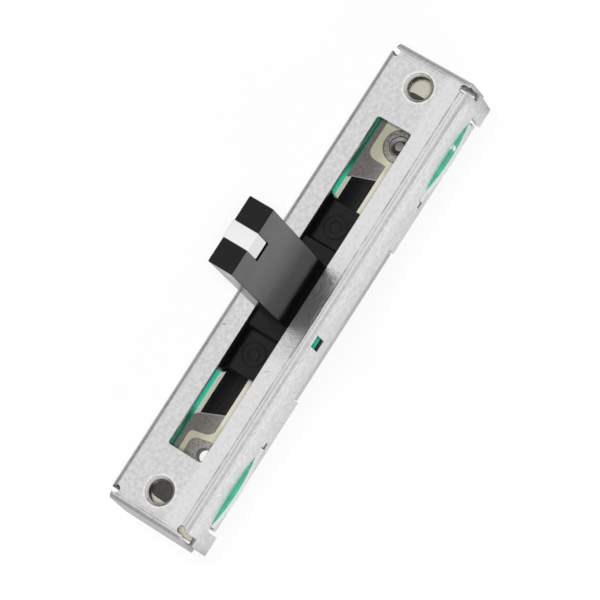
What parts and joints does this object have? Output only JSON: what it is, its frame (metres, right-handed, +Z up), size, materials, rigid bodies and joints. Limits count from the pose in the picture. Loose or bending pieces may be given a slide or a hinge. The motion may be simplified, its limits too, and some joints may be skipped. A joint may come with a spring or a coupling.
{
  "type": "slide potentiometer",
  "caption": "Slide potentiometer: folded bright metal frame with a long slot, tapped fixing holes, printed track board and a tall black lever with a white index mark.",
  "frame": {"origin": "middle of the part in plan, at the level of the four feet's lower ends", "axes": "+X along the lever's travel, away from the board's open round hole; +Y from the wall with the small window to the opposite wall; +Z up along the lever"},
  "size_m": [0.0526, 0.01, 0.0259],
  "materials": {
    "frame_metal": "bright plated sheet steel",
    "laminate": "beige glass-fibre laminate",
    "green_mask": "green lacquer",
    "copper_tin": "tinned copper",
    "carbon_print": "black carbon ink",
    "silver_print": "dull silver ink",
    "eyelet_metal": "tinned brass",
    "terminal_metal": "tinned brass",
    "black_moulding": "black moulded plastic, satin to glossy",
    "white_moulding": "white moulded plastic",
    "contact_metal": "sprung contact metal"
  },
  "bodies": {
    "housing": {"top_frame": "frame_metal", "circuit_board": "laminate", "mask_rear": "green_mask", "mask_front": "green_mask", "mask_underside": "green_mask", "lands_underside": "copper_tin", "carbon_track": "carbon_print", "electrode_near": "silver_print", "electrode_far": "silver_print", "collector_pad_near": "silver_print", "collector_track": "carbon_print", "collector_pad_far": "silver_print", "hole_plating": "copper_tin", "eyelets": "eyelet_metal", "terminal_near": "terminal_metal", "terminal_far": "terminal_metal", "terminal_wiper": "terminal_metal"},
    "carriage": {"slider": "black_moulding", "index_mark": "white_moulding", "wiper_brush": "contact_metal"}
  },
  "joints": [
    {"name": "slider_travel", "type": "slide", "parent": "housing", "child": "carriage", "axis": [1, 0, 0], "range_m": [-0.01515, 0.01485]}
  ]
}
